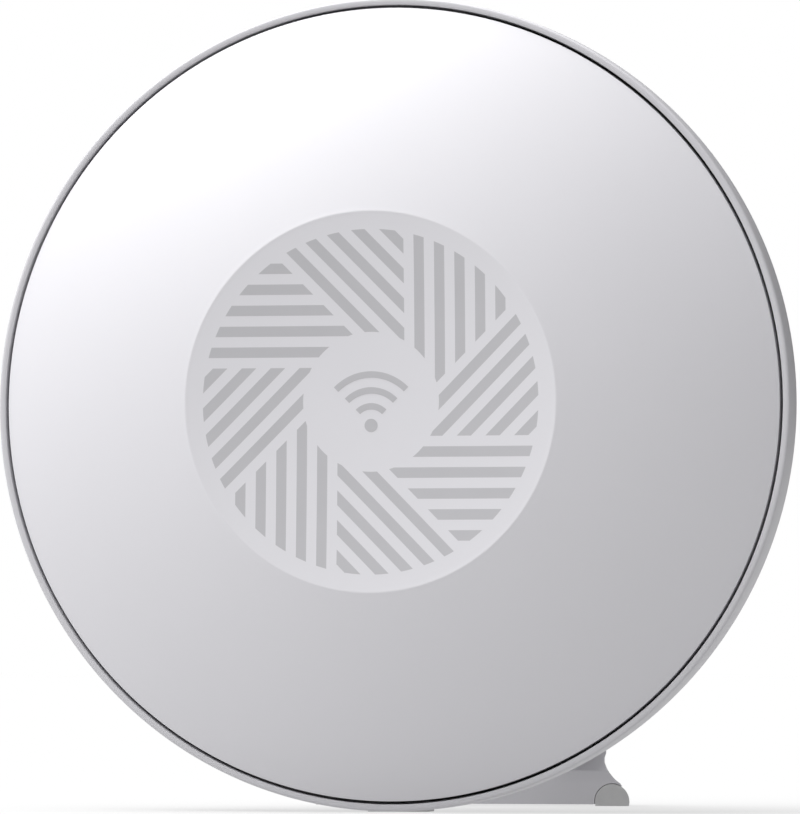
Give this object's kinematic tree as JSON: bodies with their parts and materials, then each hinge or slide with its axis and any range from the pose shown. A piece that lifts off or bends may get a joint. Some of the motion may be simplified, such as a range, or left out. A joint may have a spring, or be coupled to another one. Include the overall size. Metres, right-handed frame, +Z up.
{
  "type": "wireless router",
  "caption": "Round white wireless router standing on edge: domed cover, dished panel of grey light bars, rear shell with plug bay, stand on the back.",
  "frame": {"origin": "on the table, under the middle of the outer box", "axes": "+Z up, +X to the right as the front is looked at, +Y to the back; the domed front faces -Y"},
  "size_m": [0.16, 0.0962, 0.1602],
  "materials": {
    "gloss_white": "smooth, glossy",
    "satin_white": "fine satin",
    "light_panel": "translucent grey, satin",
    "black_foam": "matt",
    "grey_rubber": "matt",
    "green_board": "solder mask over glass fibre",
    "bright_steel": "bright plated",
    "black_plastic": "moulded, satin",
    "chip_black": "moulded epoxy",
    "sink_aluminium": "as extruded",
    "antenna_copper": "thin copper foil on film",
    "flex_amber": "polyimide film",
    "mirror_white": "matt white reflector",
    "lead_black": "extruded sheath"
  },
  "bodies": {
    "router": {"front_cover": "gloss_white", "light_diffuser": "light_panel", "reflector_cup": "mirror_white", "lamp_board": "green_board", "lamp_1": "mirror_white", "lamp_2": "mirror_white", "lamp_3": "mirror_white", "lamp_4": "mirror_white", "lamp_flex_cable": "flex_amber", "seam_gasket": "black_foam", "rear_housing": "satin_white", "rim_pad": "grey_rubber", "main_board": "green_board", "processor_chip": "chip_black", "heat_sink": "sink_aluminium", "memory_chip": "chip_black", "radio_shield_low_band": "bright_steel", "radio_shield_high_band": "bright_steel", "power_inductor": "chip_black", "capacitor_1": "sink_aluminium", "capacitor_2": "sink_aluminium", "uplink_socket_shield": "bright_steel", "uplink_socket_core": "black_plastic", "network_socket_1_shield": "bright_steel", "network_socket_1_core": "black_plastic", "network_socket_2_shield": "bright_steel", "network_socket_2_core": "black_plastic", "network_socket_3_shield": "bright_steel", "network_socket_3_core": "black_plastic", "power_socket": "black_plastic", "power_switch": "bright_steel", "pairing_switch": "bright_steel", "reset_switch": "bright_steel", "antenna_1": "antenna_copper", "antenna_lead_1": "lead_black", "antenna_2": "antenna_copper", "antenna_lead_2": "lead_black", "antenna_3": "antenna_copper", "antenna_lead_3": "lead_black", "antenna_4": "antenna_copper", "antenna_lead_4": "lead_black", "housing_screw_1": "bright_steel", "housing_screw_2": "bright_steel", "housing_screw_3": "bright_steel", "housing_screw_4": "bright_steel", "board_screw_1": "bright_steel", "board_screw_2": "bright_steel", "board_screw_3": "bright_steel", "board_screw_4": "bright_steel", "lamp_board_screw_1": "bright_steel", "lamp_board_screw_2": "bright_steel", "lamp_board_screw_3": "bright_steel", "stand": "satin_white", "stand_pad_left": "grey_rubber", "stand_pad_right": "grey_rubber"},
    "power_button": {"power_button": "satin_white"},
    "pairing_button": {"pairing_button": "satin_white"},
    "reset_button": {"reset_button": "satin_white"}
  },
  "joints": [
    {"name": "power_press", "type": "slide", "parent": "router", "child": "power_button", "axis": [0, -1, 0], "range_m": [0, 0.0006], "stiffness_N_per_m": 2000},
    {"name": "pairing_press", "type": "slide", "parent": "router", "child": "pairing_button", "axis": [0, -1, 0], "range_m": [0, 0.0006], "stiffness_N_per_m": 2000},
    {"name": "reset_press", "type": "slide", "parent": "router", "child": "reset_button", "axis": [0, -1, 0], "range_m": [0, 0.0006], "stiffness_N_per_m": 1500}
  ]
}
